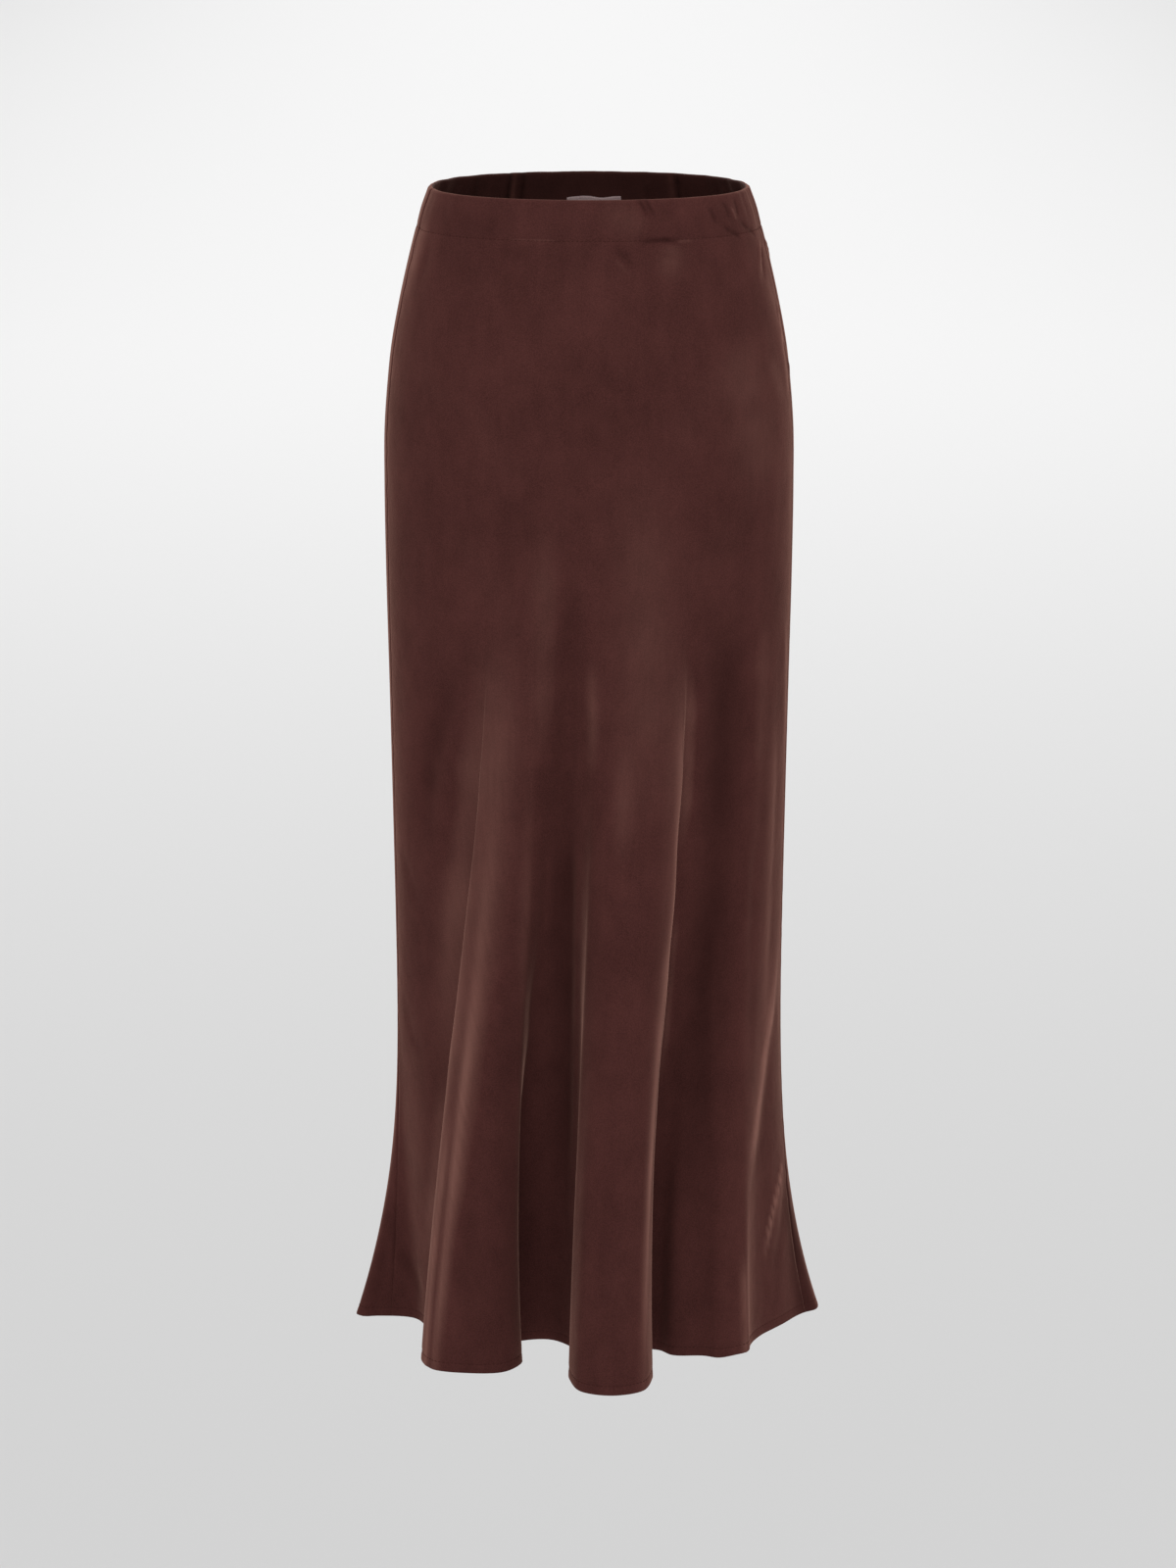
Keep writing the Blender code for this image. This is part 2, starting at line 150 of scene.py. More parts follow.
# Creases and soft ridges, each a curve through three places: girth in hundredths and drop in
# millimetres. before, after: half widths in millimetres on the side of less and of more girth.
# height: millimetres out, or in if negative. The last column: how much lighter the colour is
# painted there as a painted highlight, or darker if negative as painted shade.
CREASE_STEPS = 16  # straight steps along a crease
CREASE_REACH = 3.2  # how many of its half widths a crease is worked out to
CREASE_TAPER = 0.35  # share of its length over which each end dies out
CREASE_UNEVEN = 0.22  # how unevenly it runs, as a share of its height
SHORTEST_ROUND = 0.6  # metres, less than the skirt measures round anywhere
LEAST_REACH = 0.05  # share of the girth
CREASE_COLUMNS = ("girth_1", "drop_1", "girth_2", "drop_2", "girth_3", "drop_3",
                  "before", "after", "height", "nap")
CREASES = (
    # the broad left front flute: its crest, and strands that run down it, with painted highlights
    # on them, and painted shade beside them and on the left flare
    (14.4, 300, 14.8, 560, 14.2, 880, 14, 15, 1, 0.1),
    (14.6, 440, 14.7, 700, 14.2, 980, 5, 7, 0.8, 0.13),
    (14.7, 590, 14.4, 800, 13.7, 1070, 3.5, 4, 0.5, 0.22),
    (12.9, 560, 13.1, 750, 12.9, 1000, 4, 6, 0.9, 0.12),
    (13.6, 720, 13.4, 850, 13.3, 1080, 3, 3.5, 0.4, 0.3),
    (13.8, 640, 13.9, 760, 13.5, 900, 3, 3, -0.4, 0.02),
    (12.0, 320, 11.8, 540, 11.4, 840, 26, 16, 0.6, 0.12),
    (12.4, 640, 10.4, 760, 8.0, 920, 8, 10, 1, 0.14),
    (17.4, 590, 17.4, 740, 17.0, 1000, 12, 12, -0.6, -0.15),
    (16.5, 700, 15.9, 790, 15.4, 915, 6, 5, -0.7, -0.1),
    (18.8, 400, 19.1, 640, 18.8, 920, 6, 4, 1, 0.06),
    (15.9, 780, 16.0, 880, 15.9, 1020, 14, 20, 0, -0.13),
    (19.2, 230, 19.6, 340, 19.6, 460, 10, 10, 0, 0.06),
    (20.6, 470, 21.2, 620, 20.9, 780, 10, 12, 3, 0.0),
    (4.6, 840, 6.0, 890, 9.5, 925, 5, 8, -1, -0.2),
    (3.6, 820, 4.0, 900, 4.3, 990, 10, 10, 0, -0.19),
    # the valley on its left, the dent high up and faint creases from the left edge, with painted
    # shade in them and painted light on the cloth beside the valley
    (9.6, 360, 8.6, 445, 8.5, 530, 12, 10, -3.4, -0.3),
    (9.3, 330, 9.4, 450, 9.6, 580, 20, 20, -2.2, -0.06),
    (9.9, 390, 9.6, 530, 9.2, 700, 10, 12, 0.4, 0.08),
    (7.4, 640, 7.6, 760, 7.8, 860, 16, 16, 0, 0.07),
    (9.6, 690, 9.0, 800, 7.9, 900, 8, 10, 0.6, 0.14),
    (6.8, 520, 7.6, 550, 8.4, 575, 4, 5, -0.8, -0.1),
    (7.0, 655, 7.5, 680, 8.1, 700, 4, 5, -0.7, -0.1),
    # the valley between the two front flutes, with painted shade in it and a painted highlight on
    # a small ridge
    (24.8, 250, 23.8, 370, 23.0, 500, 8, 7, -2.2, -0.1),
    (23.6, 400, 24.6, 620, 24.6, 880, 14, 6, -3.6, -0.46),
    (22.4, 490, 22.8, 570, 23.1, 640, 4, 4, 0.8, 0.1),
    # the middle front flute, with painted highlights along its right edge and painted shade along
    # its left edge
    (27.4, 350, 27.9, 400, 28.2, 460, 5, 5, 1, 0.1),
    (28.3, 400, 28.9, 640, 29.6, 1000, 5, 8, 0.8, -0.1),
    (36.8, 330, 37.5, 520, 36.4, 780, 12, 4, 3.6, 0.15),
    (36.6, 380, 37.4, 550, 36.6, 760, 4, 3, 0.6, 0.34),
    (37.2, 560, 35.8, 710, 34.2, 1020, 6, 2.6, 0.5, 0.4),
    (31.6, 190, 33.0, 345, 33.8, 510, 22, 24, 0, 0.07),
    (32.2, 560, 32.4, 780, 32.2, 1060, 20, 20, 0, -0.06),
    (33.2, 600, 33.7, 670, 34.1, 730, 6, 4, 0.5, 0.02),
    (31.4, 410, 31.7, 465, 31.9, 520, 8, 8, 0.7, 0.07),
    (31.0, 600, 31.3, 660, 31.2, 720, 8, 7, -0.6, -0.08),
    # the wide valley right of it, with painted shade in it and painted highlights on small ridges
    (40.6, 300, 41.8, 520, 42.9, 960, 17, 21, -3.8, -0.52),
    (38.7, 350, 39.3, 440, 39.7, 530, 6, 8, 0, 0.16),
    (43.6, 320, 44.4, 400, 44.6, 490, 14, 14, 0, 0.08),
    (39.7, 540, 39.9, 630, 40.0, 730, 4, 4, 0.8, 0.14),
    (42.4, 560, 43.2, 680, 43.8, 800, 4, 5, 0.5, 0.08),
    # the right front flute, with painted highlights on its crest and creases, and painted shade
    # towards the skirt's right edge
    (50.4, 580, 48.4, 690, 45.9, 820, 12, 6, 1.6, 0.22),
    (49.8, 620, 47.7, 718, 46.1, 790, 4, 3.5, 0.5, 0.36),
    (45.6, 840, 45.5, 890, 45.4, 950, 6, 6, 0.6, 0.04),
    (45.6, 850, 45.6, 905, 45.6, 990, 3, 2.5, 0.5, 0.22),
    (52.4, 812, 50.4, 850, 49.2, 900, 5, 8, -1, -0.18),
    (52.4, 785, 49.8, 825, 48.4, 880, 2.7, 2.7, 1.1, 0.5),
    (50.6, 590, 51.8, 760, 52.1, 980, 10, 14, 0, -0.38),
    (52.2, 810, 52.1, 890, 51.9, 1020, 12, 12, 0, -0.34),
    (46.8, 380, 47.5, 540, 47.9, 720, 7, 7, 1, 0.14),
    (45.0, 500, 45.4, 560, 45.4, 640, 7, 6, -0.8, -0.06),
    (48.6, 320, 49.8, 390, 50.8, 450, 5, 6, 0.7, 0.07),
    # the back, much as the front, with painted highlights on the crests and painted shade in the
    # valleys
    (61.9, 420, 62.3, 640, 61.8, 930, 12, 8, 1.8, 0.36),
    (64.6, 560, 65.2, 700, 65.4, 900, 7, 10, 1, 0.2),
    (66.8, 640, 67.0, 760, 66.5, 900, 5, 6, -0.8, -0.12),
    (68.9, 480, 69.2, 660, 69.0, 910, 10, 5, 1.6, 0.3),
    (71.9, 330, 72.4, 520, 72.8, 800, 14, 16, -3.2, -0.24),
    (75.4, 360, 75.6, 580, 75.2, 920, 9, 12, 1.8, 0.34),
    (77.4, 500, 78.2, 640, 78.0, 780, 6, 8, 0.8, 0.14),
    (79.6, 610, 79.9, 740, 80.3, 900, 5, 4, -0.7, -0.12),
    (81.0, 420, 81.5, 600, 81.2, 900, 12, 6, 1.7, 0.32),
    (84.2, 300, 84.6, 480, 84.9, 760, 14, 14, -3, -0.22),
    (84.4, 560, 85.0, 640, 85.2, 720, 4, 4, 0.8, 0.1),
    (88.2, 430, 88.5, 640, 88.1, 930, 10, 10, 1.8, 0.36),
    (90.9, 600, 91.2, 720, 91.0, 860, 6, 5, 0.8, 0.14),
    (93.5, 520, 93.9, 700, 93.6, 910, 10, 5, 1.6, 0.3),
    (96.6, 360, 97.0, 440, 97.5, 520, 14, 12, -2.6, -0.2),
    (97.4, 640, 98.2, 740, 98.8, 860, 12, 10, -1.8, -0.14),
)

# Creases of the hip and waist: the same, but each place is a bearing at the hip and a drop
HIP_CREASES = (
    # the long pinch under the casing's stitching, with painted shade in it and above it, and
    # painted light on the cloth below it
    (105.5, 33, 113.7, 30.6, 121.8, 32.5, 1.5, 1.8, -0.9, -0.55),
    (108.5, 30, 113.0, 29, 118.0, 30, 4, 4, 0, -0.06),
    (118.5, 32.6, 122.3, 31.9, 127.0, 31.7, 1, 1, 0.2, 0.1),
    (118.0, 32, 116.4, 44, 113.0, 66, 9, 9, 0.4, 0.08),
    # two thin creases from the top edge with painted shade in them, and the soft round shadow left
    # of the pinch, a hollow with painted shade in it
    (104.6, -6, 108.3, 3.8, 110.0, 14.4, 1.7, 1.7, -0.6, -0.44),
    (107.4, -6, 110.7, 4.4, 112.3, 15.6, 1.7, 1.7, -0.6, -0.44),
    (97.0, 33.5, 101.0, 41.5, 104.2, 54, 3.4, 4, -0.8, -0.26),
    (98.4, 42, 100.1, 48, 103.6, 58, 2, 2.2, 0.4, 0.05),
    # painted shade on the left, and a painted copper highlight along the casing's stitching above
    # it
    (55.0, 34.5, 63.7, 39.4, 72.0, 43, 6, 7, -0.3, -0.16),
    (56.0, 30.6, 71.0, 30.1, 84.0, 29.7, 1.1, 1.1, 0, 0.11),
    (58.0, 40, 78.0, 44, 99.0, 40, 15, 15, 0, -0.08),
    # small dimples near the right seam, with painted shade in them and round them
    (133.6, 6.5, 134.8, 14.4, 135.6, 23, 1.9, 1.9, -0.5, -0.36),
    (141.0, 3.5, 142.6, 11.3, 142.0, 20, 1.9, 1.9, -0.5, -0.42),
    (149.0, 2, 149.2, 10.6, 148.0, 19.5, 1.9, 1.9, -0.5, -0.4),
    (138.0, 21.5, 142.6, 28.1, 147.0, 35, 1.9, 2, -0.5, -0.42),
    (148.0, 19, 153.6, 27.5, 158.8, 36, 2, 2, -0.5, -0.42),
    (145.0, 7.5, 146.0, 15, 146.3, 22.5, 1.6, 1.6, 0.3, 0.2),
    (131.0, 6, 143.2, 19.4, 158.0, 37, 12, 12, 0, -0.09),
    # painted shade and painted light across the casing, and a faint groove
    (27.0, 0, 47.4, 15.6, 65.0, 29, 15, 15, 0, -0.18),
    (92.0, 4, 102.8, 15, 110.0, 26, 12, 12, 0, 0.05),
    (70.0, 6, 71.0, 15, 71.5, 26, 3, 3, -0.3, -0.04),
    # cloth drawn towards the right seam: thin ridges with painted highlights, a crease with
    # painted shade, and soft ridges with painted light
    (162.8, 37.5, 156.6, 53, 153.0, 76, 2, 2, 0.9, 0.16),
    (165.6, 34.5, 175.0, 45, 182.4, 59, 1.8, 1.8, 0.9, 0.16),
    (173.4, 84, 165.0, 99.5, 161.8, 120, 2.2, 2.2, 0.9, 0.13),
    (164.8, 111, 169.4, 130.1, 175.0, 152, 2.2, 2.2, 0.9, 0.13),
    (164.0, 40, 159.6, 53, 157.0, 72, 2.2, 2.4, -0.6, -0.16),
    (156.0, 56, 159.5, 90, 162.0, 145, 7, 7, 0.6, 0.09),
    (161.0, 90, 163.0, 125, 164.5, 175, 5, 5, 0.7, 0.09),
    (151.0, 120, 154.0, 145, 158.0, 165, 6, 7, 0.5, 0.08),
    (129.0, 100, 140.0, 166, 143.5, 245, 22, 24, 0, 0.08),
    # the fold beside the left seam with a painted highlight on it, and a crease with painted shade
    # beside it
    (25.0, 18, 22.5, 45, 20.5, 92, 7, 7, 0.8, 0.14),
    (31.0, 36, 30.0, 54, 29.5, 76, 5, 5, -0.5, -0.08),
    # wide bias wrinkles that run down to the middle of the front, with faint painted light and
    # shade
    (38.0, 110, 56.0, 165, 74.0, 235, 11, 13, 0.4, 0.01),
    (44.0, 85, 62.0, 135, 82.0, 200, 10, 11, -0.4, -0.01),
    (142.0, 95, 124.0, 150, 104.0, 225, 12, 12, 0.4, 0.01),
    (136.0, 70, 120.0, 115, 103.0, 170, 10, 10, -0.4, -0.01),
    (150.0, 190, 134.0, 250, 118.0, 320, 12, 14, 0.4, 0.01),
    (46.0, 240, 60.0, 290, 74.0, 345, 12, 13, 0.4, 0.01),
    # the back: deep pinches from the elastic, and wrinkles under the seat, with painted shade in
    # the pinches and hollows and painted highlights on the ridges
    (301.4, -8, 300.5, 15, 299.5, 42, 2, 2.2, -1.6, -0.6),
    (295.5, -8, 294.8, 13, 294.0, 38, 1.8, 2, -1.5, -0.6),
    (298.4, -8, 297.8, 13, 297.0, 36, 2, 2, 0.6, 0.4),
    (316.4, -8, 315.0, 12, 314.0, 36, 3, 3, -1, -0.35),
    (235.2, -8, 236.4, 15, 236.0, 46, 2, 2.2, -1.6, -0.6),
    (239.0, -8, 239.6, 14, 240.0, 38, 2.4, 2.4, 0.6, 0.3),
    (214.0, 6, 213.0, 22, 211.0, 50, 2.8, 3, -1.2, -0.22),
    (248.0, 4, 248.5, 18, 249.5, 40, 2.6, 2.8, -1.2, -0.22),
    (262.0, 34, 263.5, 45, 264.0, 60, 3, 2.8, -1, -0.2),
    (281.0, 33, 279.0, 48, 278.0, 68, 2.8, 3, -1.1, -0.22),
    (324.0, 6, 325.0, 24, 328.0, 56, 3, 3, -1.2, -0.22),
    (226.0, 130, 240.0, 190, 256.0, 262, 12, 14, 0.9, 0.08),
    (232.0, 100, 246.0, 150, 262.0, 210, 10, 11, -0.8, -0.06),
    (312.0, 140, 298.0, 195, 282.0, 268, 12, 13, 0.9, 0.08),
    (318.0, 230, 304.0, 285, 290.0, 350, 11, 13, 0.8, 0.06),
    (196.0, 45, 200.0, 75, 202.0, 120, 4, 4, 0.9, 0.1),
    (341.0, 40, 337.0, 70, 334.0, 115, 4, 4, 0.9, 0.1),
)

# The casing: stuffed between its edge and its stitching, and rippled by the elastic
STITCH_DROP = 0.0305  # of the casing's stitching
CASING_SWELL = 0.0006
STITCH_GROOVE = 0.0005
GROOVE_WIDTH = 0.0016
RIPPLES = 118  # round the waist
RIPPLE_HEIGHT = (0.00010, 0.00030)
BACK_RIPPLES = 2.2  # times as high in the back
RIPPLE_WIDTH = (0.0022, 0.0042)
RIPPLE_LENGTH = (0.034, 0.062)
RIPPLE_SHIFT = 0.38  # share of their spacing that they stand off an even place
RIPPLE_SEED = 11
SEAM_PUCKER = 0.00035  # height of the puckers beside a side seam
SEAM_PUCKER_STEP = 0.021
SEAM_PUCKER_REACH = 0.007
SEAM_PUCKER_FADE = 0.05  # length over which they die out at the waist and the hem
HEM_STITCH = 0.0076  # the hem's stitching, up from the edge
HEM_GROOVE = 0.0004

# Thread
STITCH_LENGTH = 0.0027
STITCH_PITCH = 0.0034
THREAD = 0.00022  # half its thickness
# Along a stitch: share of its length, and how far out in half thicknesses of thread
STITCH_ARCH = ((-0.5, -1.2), (-0.3, 0.5), (0.3, 0.5), (0.5, -1.2))
THREAD_SIDES = 4

# The label's looseness: waves in its face, and its lower end bent away from the skirt
LABEL_LOOSE = 0.0004
LABEL_WAVES = 1.6
LABEL_BEND = 0.0006
SAG_LENGTH = 0.74  # of one wave of its top edge, as a share of its width

# The satins. dark, light: the ends of its mottle. The third colour is painted where highlights are
# painted.
SATIN_COLUMNS = ("name", "dark", "light", "painted_highlight", "roughness", "sheen", "gloss")
SATINS = (
    ("satin", (56, 31, 29), (83, 48, 45), (150, 107, 96), 0.50, 0.32, 0.0),
    # the inside satin is darker than the outside: partly the duller wrong side, partly painted
    # shade
    ("satin_inside", (42, 23, 21), (56, 31, 28), (84, 52, 46), 0.60, 0.10, 0.05),
)
MOTTLE = {"clouds": 0.20, "patches": 0.18, "streaks": 0.05, "grain": 0.46}  # shares of colour
BROKEN_HIGHLIGHTS = 0.20  # how far streaks break up the painted highlights
PAINTED_SHADE_SHARE = 0.35  # share of the dark colour that the painted shade is
ROUGH_PATCHES = 0.07
ROUGH_STREAKS = 0.05
TWILL_TURN = 38.0  # degrees
SOFT_BUMP = 0.0003  # metres of relief, this one and the next three
PATCH_BUMP = 0.00012
TWILL_BUMP = 0.00003
GRAIN_BUMP = 0.00006
SHEEN_TINT = (255, 196, 176)
GLOSS_TINT = (255, 200, 182)
THREAD_COLOURS = ((54, 30, 27), (70, 40, 36))
LABEL_COLOURS = ((128, 104, 104), (152, 130, 129))

# Render scene
CAMERA_PLACE = (-0.0008, -3.4, 0.4248)
CAMERA_PITCH = 14.957  # degrees down
CAMERA_LENS = 99.9  # millimetres, on a 36 mm long side
LIGHT_COLUMNS = ("name", "place", "target", "size", "power")
LIGHTS = (
    ("left_strip", (-2.4, 1.2, 0.0), (0, 0, -0.5), (0.6, 2.4), 8),
    ("right_strip", (2.4, 1.2, 0.0), (0, 0, -0.5), (0.6, 2.4), 8),
    ("front_softbox", (0.0, -2.2, 1.3), (0, 0, -0.2), (1.8, 1.2), 18),
)
FLOOR_HEIGHT = -2.3
FLOOR_REACH = 40.0
# The floor's colour is painted light and shade: grey near, pale further off, white at the horizon,
# greyer to both sides.
FLOOR_GREY = (0.54, 0.54, 0.54, 1)
FLOOR_PALE = (0.93, 0.93, 0.93, 1)
FLOOR_BLEND = (-2.0, 14.0)  # distances over which grey turns pale
HORIZON = (30.0, 39.0)  # and over which pale turns white
SIDE_FALLOFF = 0.0168  # how fast painted shade greys it again to both sides, and at most by how much
MOST_FALLOFF = 0.45


def records(rows, columns):
    """The rows of a table with their columns by name."""
    return [dict(zip(columns, row)) for row in rows]


def smooth_curve(knots, values, x):
    """A smooth curve through values at rising knots, read at x (Hermite pieces)."""
    slopes = np.gradient(values, knots)
    i = np.clip(np.searchsorted(knots, x, side="right") - 1, 0, len(knots) - 2)
    width = knots[i + 1] - knots[i]
    t = np.clip((x - knots[i]) / width, 0.0, 1.0)
    rise = values[i + 1] - values[i]
    bend_in = slopes[i] * width - rise
    bend_out = rise - slopes[i + 1] * width
    return values[i] + t * rise + t * (1 - t) * ((1 - t) * bend_in + t * bend_out)


def ease(t):
    """0 to 1 with soft ends."""
    t = np.clip(t, 0.0, 1.0)
    return t * t * (3 - 2 * t)


def figure(bearing, drop):
    """The smooth body of the skirt, before its flutes, as x and y."""
    drops, *sizes = np.array(FIGURE).T
    half_width, front, back = (smooth_curve(drops, size, drop) for size in sizes)
    turn = np.radians(bearing)
    across, along = -np.cos(turn), -np.sin(turn)
    depth = back + (front - back) * ease(0.5 - along / 0.5)
    oval = (np.abs(across) ** OVAL_POWER + np.abs(along) ** OVAL_POWER) ** (-1 / OVAL_POWER)
    return half_width * oval * across, depth * oval * along


def hem_bearing(x, y):
    """The bearing of a point of the hem, on the figure's oval there."""
    half_width, front, back = FIGURE[-1][1:]
    depth = np.where(y < 0, front, back)
    return np.degrees(np.arctan2(-y / depth, -x / half_width))


def flute_points(flute):
    """A flute on the hem in walking order: neck, five points of its oval cap, neck."""
    turn = math.radians(flute["points"])
    out = np.array((-math.cos(turn), -math.sin(turn)))
    along = np.array((-out[1], out[0]))
    foot = np.array((flute["foot_x"], flute["foot_y"]))
    middle = foot + out * flute["reach"] * BELLY_PLACE
    half, cap = flute["belly"] / 2, flute["reach"] * (1 - BELLY_PLACE)
    points = [foot - along * flute["neck"] / 2]
    for degrees in (0, 45, 90, 135, 180):
        across, ahead = -math.cos(math.radians(degrees)), math.sin(math.radians(degrees))
        oval = (abs(across) ** CAP_POWER + ahead ** CAP_POWER) ** (-1 / CAP_POWER)
        points.append(middle + along * half * oval * across + out * cap * oval * ahead)
    points.append(foot + along * flute["neck"] / 2)
    return points


def hem_stations():
    """Once round the hem: points, bearings at hip and hem, starts and growths of the folds."""
    flutes = records(FLUTES, FLUTE_COLUMNS)
    stations = []
    for flute, following in zip(flutes, flutes[1:] + flutes[:1]):
        points = flute_points(flute)
        first, last = hem_bearing(*points[0]), hem_bearing(*points[-1])
        turn = (last - first) % 360
        for point, share in zip(points, FLUTE_SHARES):
            hip = flute["hip"] + flute["spread"] * (2 * share - 1)
            stations.append((*point, hip, first + turn * share, flute["start"], flute["growth"]))
        entry = flute_points(following)[0]
        middle = (points[-1] + entry) / 2
        chord = entry - points[-1]
        inward = np.array((-chord[1], chord[0])) / np.hypot(*chord)
        valley = middle + inward * flute["dip"]
        next_hip = following["hip"] - following["spread"]
        hip = flute["hip"] + flute["spread"]
        hip += ((next_hip - hip) % 360) / 2
        bearing = last + ((hem_bearing(*entry) - last) % 360) / 2
        start = (flute["start"] + following["start"]) / 2
        growth = (flute["growth"] + following["growth"]) / 2
        stations.append((*valley, hip, bearing, start, growth))
    return np.array(stations)


class Hem:
    """The hem's curve and its folds' places, read by girth: 0 to 1 once round the skirt."""

    def __init__(self):
        stations = hem_stations()
        chords = np.hypot(*(np.roll(stations, -1, axis=0) - stations)[:, :2].T)
        girth = np.concatenate(([0.0], np.cumsum(chords)))
        one_turn = girth[:-1] / girth[-1]
        turns = (-1, 0, 1)
        self.knots = np.concatenate([one_turn + turn for turn in turns])
        loop = np.tile(stations, (len(turns), 1))
        for column in (2, 3):
            angles = np.degrees(np.unwrap(np.radians(stations[:, column])))
            loop[:, column] = np.concatenate([angles + 360 * turn for turn in turns])
        self.loop = loop

    def read(self, girth):
        """x, y, hip bearing, hem bearing, start and growth at each girth."""
        return [smooth_curve(self.knots, column, girth) for column in self.loop.T]


HEM = Hem()


def gathers(bearing, drop):
    """How far the elastic pulls the cloth in."""
    pull = np.zeros(np.broadcast(bearing, drop).shape)
    for gather in records(GATHERS, GATHER_COLUMNS):
        away = (bearing - gather["bearing"]) / gather["half_width"]
        pull = pull + gather["depth"] * np.exp(-away * away) * (1 - ease(drop / gather["length"]))
    return pull


def soft_taps():
    """Steps and weights of an average over a stretch of girth."""
    steps = np.linspace(-2.0, 2.0, SOFT_TAPS)
    weights = np.exp(-steps * steps / 2)
    return list(zip(steps, weights / weights.sum()))


def opening(girth, drop):
    """How far a fold is on its way to the hem, 0 to 1, and how late it opens."""
    start, growth = np.zeros_like(girth), np.zeros_like(girth)
    for step, weight in soft_taps():
        own = HEM.read(girth + step * SOFT_SPREAD)
        start += weight * own[4]
        growth += weight * own[5]
    return np.clip((drop - start) / (LENGTH - start), 0.0, 1.0), growth


def departure(girth, opened):
    """How far the hem stands off the figure, averaged over less girth as a fold opens."""
    x, y = np.zeros_like(girth), np.zeros_like(girth)
    for step, weight in soft_taps():
        hem_x, hem_y, _, foot, _, _ = HEM.read(girth + step * SOFT_SPREAD * (1 - opened) ** 2)
        straight_x, straight_y = figure(foot, np.full_like(foot, LENGTH))
        x += weight * (hem_x - straight_x)
        y += weight * (hem_y - straight_y)
    return x, y


def cloth(girth, drop):
    """The skirt's smooth outer face: an array of points for arrays of girth and drop."""
    _, _, hip, foot, _, _ = HEM.read(girth)
    drift = ease((drop - DRIFT_START) / (LENGTH - DRIFT_START))
    x, y = figure(hip + (foot - hip) * drift, drop)
    share, growth = opening(girth, drop)
    away_x, away_y = departure(girth, share)
    x = x + share ** growth * away_x
    y = y + share ** growth * away_y
    pull = gathers(hip % 360, drop)
    size = np.hypot(x, y)
    return np.stack((x * (1 - pull / size), y * (1 - pull / size), -drop), axis=-1)


def girth_of_hip(bearing):
    """The girth whose fold rises from a bearing at the hip."""
    return float(np.interp(bearing, HEM.loop[:, 2], HEM.knots))


class Walk:
    """Distances walked round the skirt from girth 0, level, at any drop."""

    def __init__(self, girths=1200, drops=140):
        self.girths = np.linspace(0.0, 1.0, girths + 1)
        self.drops = np.linspace(0.0, LENGTH, drops + 1)
        girth, drop = np.meshgrid(self.girths, self.drops)
        steps = np.linalg.norm(np.diff(cloth(girth, drop), axis=1), axis=-1)
        self.walked = np.concatenate((np.zeros((drops + 1, 1)), np.cumsum(steps, axis=1)), axis=1)

    def at(self, girth, drop):
        girth, drop = np.broadcast_arrays(girth, drop)
        turns = np.floor(girth)
        across = (girth - turns) * (len(self.girths) - 1)
        down = np.clip(drop, 0.0, LENGTH) / LENGTH * (len(self.drops) - 1)
        i = np.clip(across.astype(int), 0, len(self.girths) - 2)
        j = np.clip(down.astype(int), 0, len(self.drops) - 2)
        s, t = across - i, down - j
        upper = self.walked[j, i] * (1 - s) + self.walked[j, i + 1] * s
        lower = self.walked[j + 1, i] * (1 - s) + self.walked[j + 1, i + 1] * s
        whole = self.walked[j, -1] * (1 - t) + self.walked[j + 1, -1] * t
        return upper * (1 - t) + lower * t + turns * whole

    def between(self, home, girth, drop):
        """The distance from one girth to another at a drop."""
        return self.at(girth, drop) - self.at(home, drop)


WALK = Walk()
LEFT = girth_of_hip(SEAM_LEFT)
RIGHT = girth_of_hip(SEAM_RIGHT)


def crease(girth, drop, own):
    """The shape of one crease, 0 to 1, over arrays of girth and drop."""
    knots = np.array([(own["girth_%d" % n] / 100, own["drop_%d" % n] / 1000) for n in (1, 2, 3)])
    t = np.linspace(0.0, 1.0, CREASE_STEPS + 1)
    weights = np.stack(((1 - t) * (1 - 2 * t), 4 * t * (1 - t), t * (2 * t - 1)), axis=-1)
    line = weights @ knots
    home = knots[:, 0].mean()
    near = girth - np.round(girth - home)
    before, after = own["before"] / 1000, own["after"] / 1000
    reach = CREASE_REACH * max(before, after)
    girth_reach = max(reach / SHORTEST_ROUND, LEAST_REACH)
    inside = ((near > line[:, 0].min() - girth_reach) & (near < line[:, 0].max() + girth_reach)
              & (drop > line[:, 1].min() - reach) & (drop < line[:, 1].max() + reach))
    shape = np.zeros(girth.shape)
    if not inside.any():
        return shape
    v, line_v = drop[inside], line[:, 1]
    u, line_u = WALK.between(home, near[inside], v), WALK.between(home, line[:, 0], line_v)
    best = np.full(u.shape, np.inf)
    place, side = np.zeros(u.shape), np.zeros(u.shape)
    for i in range(len(t) - 1):
        du, dv = line_u[i + 1] - line_u[i], line_v[i + 1] - line_v[i]
        share = np.clip(((u - line_u[i]) * du + (v - line_v[i]) * dv) / (du * du + dv * dv), 0, 1)
        off_u, off_v = u - line_u[i] - share * du, v - line_v[i] - share * dv
        away = np.hypot(off_u, off_v)
        closer = away < best
        best = np.where(closer, away, best)
        place = np.where(closer, t[i] + share * (t[1] - t[0]), place)
        side = np.where(closer, off_u * dv - off_v * du, side)
    half = np.where(side < 0, before, after)
    taper = ease(place / CREASE_TAPER) * ease((1 - place) / CREASE_TAPER)
    waver = np.sin(9.0 * place + 60 * home) * np.sin(23.0 * place + 37 * home)
    uneven = 1 + CREASE_UNEVEN * waver
    shape[inside] = np.exp(-(best / half) ** 2) * taper * uneven
    return shape


def all_creases():
    """Every crease with its columns by name, those of the hip and waist by girth too."""
    rows = list(CREASES)
    for row in HIP_CREASES:
        places = [value if n % 2 else girth_of_hip(value) * 100 for n, value in enumerate(row[:6])]
        rows.append((*places, *row[6:]))
    return records(rows, CREASE_COLUMNS)


ALL_CREASES = all_creases()


